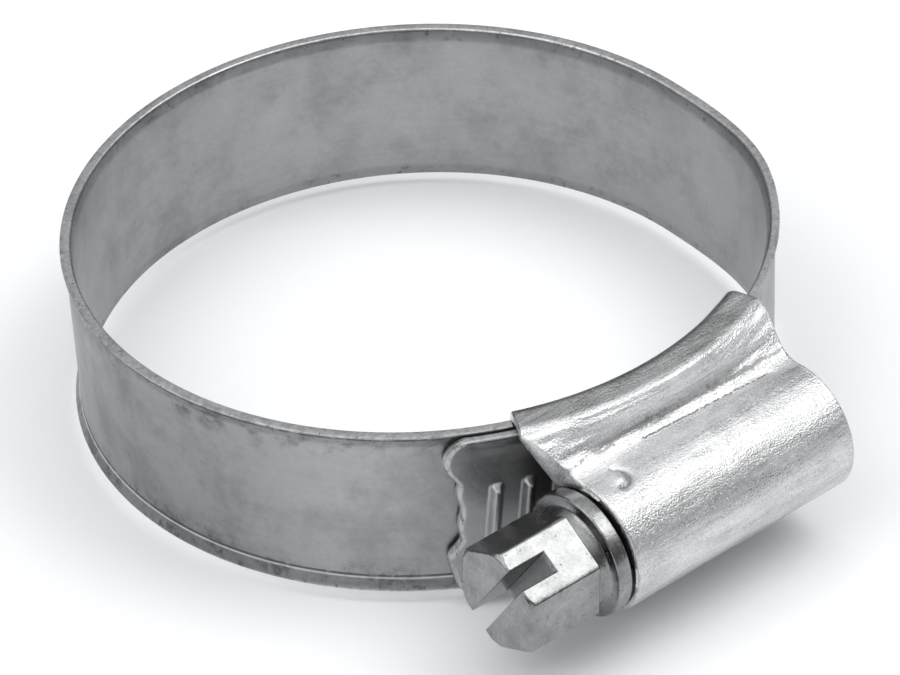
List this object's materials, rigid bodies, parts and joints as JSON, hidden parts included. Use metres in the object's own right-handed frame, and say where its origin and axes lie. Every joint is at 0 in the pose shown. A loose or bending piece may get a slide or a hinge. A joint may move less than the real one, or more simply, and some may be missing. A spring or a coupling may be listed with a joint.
{
  "type": "hose clamp",
  "caption": "Worm-drive hose clamp with a ridged steel band, a pressed saddle housing and a slotted hexagon screw that tightens the ring.",
  "frame": {"origin": "centre of the band's ring, at the middle of the band's width", "axes": "+Z along the hose, housing on -Y, the screw's head looks towards -X"},
  "size_m": [0.049, 0.0581, 0.015],
  "materials": {
    "band_zinc": "matt zinc plate with grey mottling",
    "housing_zinc": "bright zinc plate, streaked where it was pressed",
    "screw_zinc": "bright zinc plate, dark in the slot and corners"
  },
  "bodies": {
    "housing": {"housing": "housing_zinc", "band_fixed_end": "band_zinc"},
    "screw": {"worm_screw": "screw_zinc"},
    "link_01": {"band_link_01": "band_zinc"},
    "link_02": {"band_link_02": "band_zinc"},
    "link_03": {"band_link_03": "band_zinc"},
    "link_04": {"band_link_04": "band_zinc"},
    "link_05": {"band_link_05": "band_zinc"},
    "link_06": {"band_link_06": "band_zinc"},
    "link_07": {"band_link_07": "band_zinc"},
    "link_08": {"band_link_08": "band_zinc"},
    "link_09": {"band_link_09": "band_zinc"},
    "link_10": {"band_link_10": "band_zinc"},
    "link_11": {"band_link_11": "band_zinc"},
    "link_12": {"band_link_12": "band_zinc"}
  },
  "joints": [
    {"name": "screw_turn", "type": "hinge", "parent": "housing", "child": "screw", "pos_m": [0, -0.02895, 0], "axis": [1, 0, 0], "range_deg": [-360, 1800]},
    {"name": "band_hinge_01", "type": "hinge", "parent": "housing", "child": "link_01", "pos_m": [-0.0119, -0.02061, 0], "axis": [0, 0, -1], "range_deg": [-0.68, 3.16]},
    {"name": "band_hinge_02", "type": "hinge", "parent": "link_01", "child": "link_02", "pos_m": [-0.02061, -0.0119, 0], "axis": [0, 0, -1], "range_deg": [-0.5, 2.33]},
    {"name": "band_hinge_03", "type": "hinge", "parent": "link_02", "child": "link_03", "pos_m": [-0.0238, 0, 0], "axis": [0, 0, -1], "range_deg": [-0.5, 2.33]},
    {"name": "band_hinge_04", "type": "hinge", "parent": "link_03", "child": "link_04", "pos_m": [-0.02061, 0.0119, 0], "axis": [0, 0, -1], "range_deg": [-0.5, 2.33]},
    {"name": "band_hinge_05", "type": "hinge", "parent": "link_04", "child": "link_05", "pos_m": [-0.0119, 0.02061, 0], "axis": [0, 0, -1], "range_deg": [-0.5, 2.33]},
    {"name": "band_hinge_06", "type": "hinge", "parent": "link_05", "child": "link_06", "pos_m": [0, 0.0238, 0], "axis": [0, 0, -1], "range_deg": [-0.5, 2.33]},
    {"name": "band_hinge_07", "type": "hinge", "parent": "link_06", "child": "link_07", "pos_m": [0.0119, 0.02061, 0], "axis": [0, 0, -1], "range_deg": [-0.5, 2.33]},
    {"name": "band_hinge_08", "type": "hinge", "parent": "link_07", "child": "link_08", "pos_m": [0.02061, 0.0119, 0], "axis": [0, 0, -1], "range_deg": [-0.5, 2.33]},
    {"name": "band_hinge_09", "type": "hinge", "parent": "link_08", "child": "link_09", "pos_m": [0.0238, 0, 0], "axis": [0, 0, -1], "range_deg": [-0.5, 2.33]},
    {"name": "band_hinge_10", "type": "hinge", "parent": "link_09", "child": "link_10", "pos_m": [0.02139, -0.01235, 0], "axis": [0, 0, -1], "range_deg": [-0.52, 2.42]},
    {"name": "band_hinge_11", "type": "hinge", "parent": "link_10", "child": "link_11", "pos_m": [0.01235, -0.02139, 0], "axis": [0, 0, -1], "range_deg": [-0.52, 2.42]},
    {"name": "band_hinge_12", "type": "hinge", "parent": "link_11", "child": "link_12", "pos_m": [0, -0.0247, 0], "axis": [0, 0, -1], "range_deg": [-0.22, 0.97]}
  ],
  "couplings": [
    {"joint": "band_hinge_01", "follows": "screw_turn", "ratio": 0.001663},
    {"joint": "band_hinge_02", "follows": "screw_turn", "ratio": 0.001223},
    {"joint": "band_hinge_03", "follows": "screw_turn", "ratio": 0.001223},
    {"joint": "band_hinge_04", "follows": "screw_turn", "ratio": 0.001223},
    {"joint": "band_hinge_05", "follows": "screw_turn", "ratio": 0.001223},
    {"joint": "band_hinge_06", "follows": "screw_turn", "ratio": 0.001223},
    {"joint": "band_hinge_07", "follows": "screw_turn", "ratio": 0.001223},
    {"joint": "band_hinge_08", "follows": "screw_turn", "ratio": 0.001223},
    {"joint": "band_hinge_09", "follows": "screw_turn", "ratio": 0.001223},
    {"joint": "band_hinge_10", "follows": "screw_turn", "ratio": 0.001271},
    {"joint": "band_hinge_11", "follows": "screw_turn", "ratio": 0.001271},
    {"joint": "band_hinge_12", "follows": "screw_turn", "ratio": 0.0005016}
  ]
}
